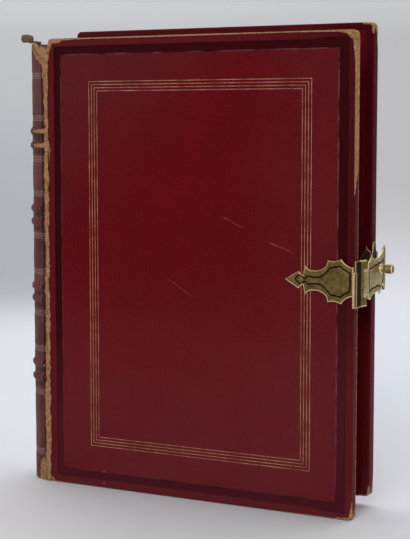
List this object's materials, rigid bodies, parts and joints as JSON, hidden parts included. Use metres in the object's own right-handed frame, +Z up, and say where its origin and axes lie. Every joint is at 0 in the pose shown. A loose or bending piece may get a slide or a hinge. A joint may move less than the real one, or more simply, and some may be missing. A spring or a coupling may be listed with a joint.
{
  "type": "antique leather book",
  "caption": "Closed antique book with a rounded spine, raised bands, worn leather covers with a sunken border line and a scalloped brass clasp; both covers and the clasp swing.",
  "frame": {"origin": "centre of the bounding box at its lowest level, where the book stands on its tail", "axes": "+Z up along the spine, the front cover faces -Y, the spine is at -X and the fore-edge with the clasp at +X"},
  "size_m": [0.2414, 0.045, 0.286],
  "materials": {
    "pages": "stained edges",
    "lining_paper": "matt",
    "spine_hide": "worn",
    "cover_hide": "polished and worn",
    "pulpboard": "matt",
    "endpaper": "matt",
    "thread": "matt",
    "cord": "matt",
    "old_brass": "tarnished"
  },
  "bodies": {
    "pages": {"text_block": "pages", "spine_lining": "lining_paper", "spine_leather": "spine_hide", "head_band": "thread", "headcap_core": "cord"},
    "front_cover": {"front_board": "pulpboard", "front_leather": "cover_hide", "front_pastedown": "endpaper", "clasp_plate": "old_brass", "clasp_rivet": "old_brass", "hinge_pin": "old_brass"},
    "back_cover": {"back_board": "pulpboard", "back_leather": "cover_hide", "back_pastedown": "endpaper", "catch_plate": "old_brass", "catch_rivet": "old_brass"},
    "strap": {"clasp_strap": "old_brass", "strap_knob": "old_brass"}
  },
  "joints": [
    {"name": "front_cover_opens", "type": "hinge", "parent": "pages", "child": "front_cover", "pos_m": [-0.0961, -0.02105, 0.14], "axis": [0, 0, -1], "range_deg": [0, 170]},
    {"name": "back_cover_opens", "type": "hinge", "parent": "pages", "child": "back_cover", "pos_m": [-0.0961, 0.02095, 0.146], "axis": [0, 0, 1], "range_deg": [0, 170]},
    {"name": "clasp_swings", "type": "hinge", "parent": "front_cover", "child": "strap", "pos_m": [0.1112, -0.00715, 0.1366], "axis": [0, 0, -1], "range_deg": [0, 115]}
  ]
}
